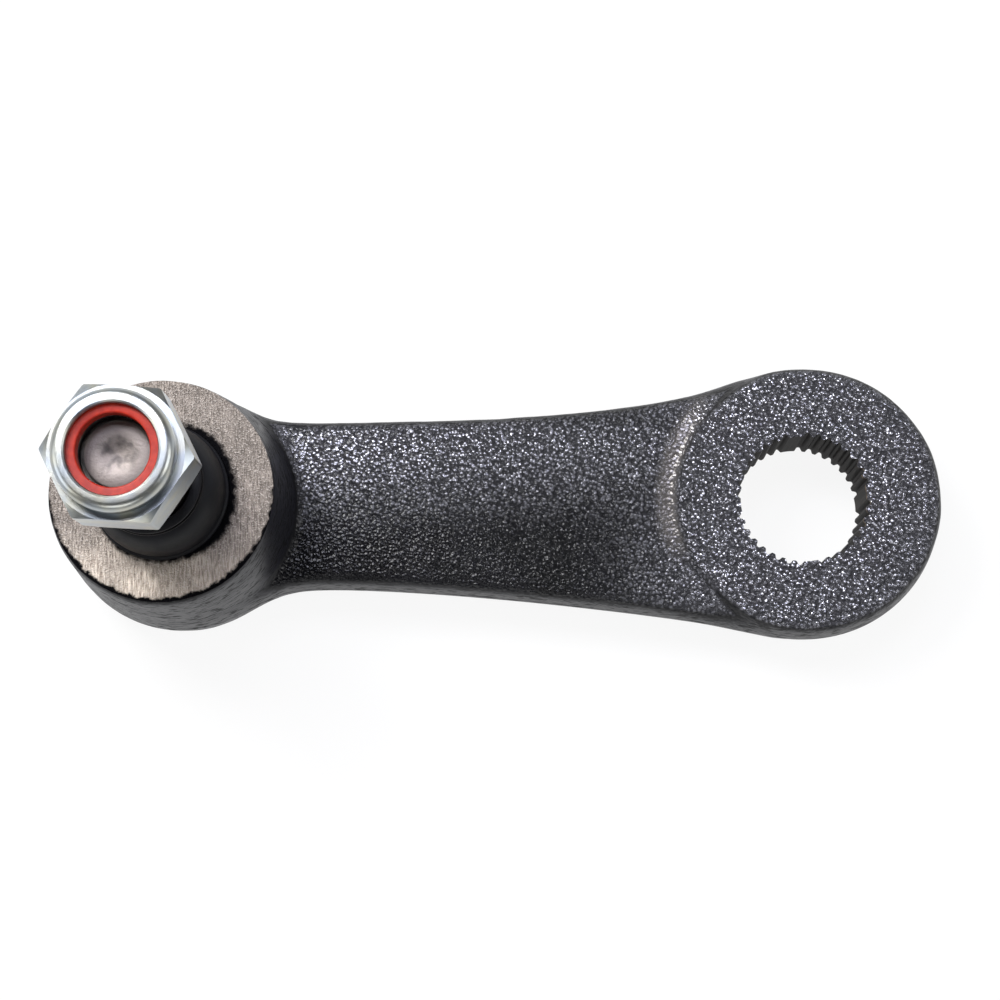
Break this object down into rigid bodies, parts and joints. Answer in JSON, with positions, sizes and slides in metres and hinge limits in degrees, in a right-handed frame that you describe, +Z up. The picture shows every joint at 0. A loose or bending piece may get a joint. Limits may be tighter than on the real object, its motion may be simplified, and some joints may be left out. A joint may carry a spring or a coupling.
{
  "type": "pitman arm",
  "caption": "Steering drop arm: a splined eye, a web and a ball-joint housing forged in one, with a booted ball stud and its lock nut.",
  "frame": {"origin": "middle of the part's footprint, on the plane that the eye's back face and the housing's underside rest on", "axes": "+X from the ball joint to the splined eye, +Z up along the stud, out of the housing's machined face, +Y across the arm"},
  "size_m": [0.2114, 0.065, 0.1092],
  "materials": {
    "black_forging": "rough forged skin under thin black paint, with a ground face on the housing",
    "bright_steel": "turned and ground steel",
    "zinc_plate": "bright zinc plate",
    "boot_rubber": "moulded black rubber",
    "red_nylon": "red nylon, slightly glossy",
    "bearing_plastic": "moulded bearing plastic"
  },
  "bodies": {
    "arm": {"arm_forging": "black_forging", "upper_bearing": "bearing_plastic", "lower_bearing": "bearing_plastic", "preload_spring": "bright_steel", "end_cover": "bright_steel"},
    "boot": {"dust_boot": "boot_rubber", "boot_base_ring": "bright_steel"},
    "boot_neck": {"boot_neck_ring": "bright_steel"},
    "stud": {"ball_stud": "bright_steel", "lock_nut": "zinc_plate", "nylon_insert": "red_nylon"}
  },
  "joints": [
    {"name": "stud_swing_direction", "type": "hinge", "parent": "arm", "child": "boot", "pos_m": [-0.07691, 0, 0.0295], "axis": [0, 0, 1], "continuous": true},
    {"name": "stud_tilt", "type": "hinge", "parent": "boot", "child": "boot_neck", "pos_m": [-0.07691, 0, 0.0295], "axis": [0, 1, 0], "range_deg": [-15, 15], "deforming": ["dust_boot"]},
    {"name": "stud_spin", "type": "hinge", "parent": "boot_neck", "child": "stud", "pos_m": [-0.07691, 0, 0.0295], "axis": [0, 0, 1], "continuous": true}
  ]
}
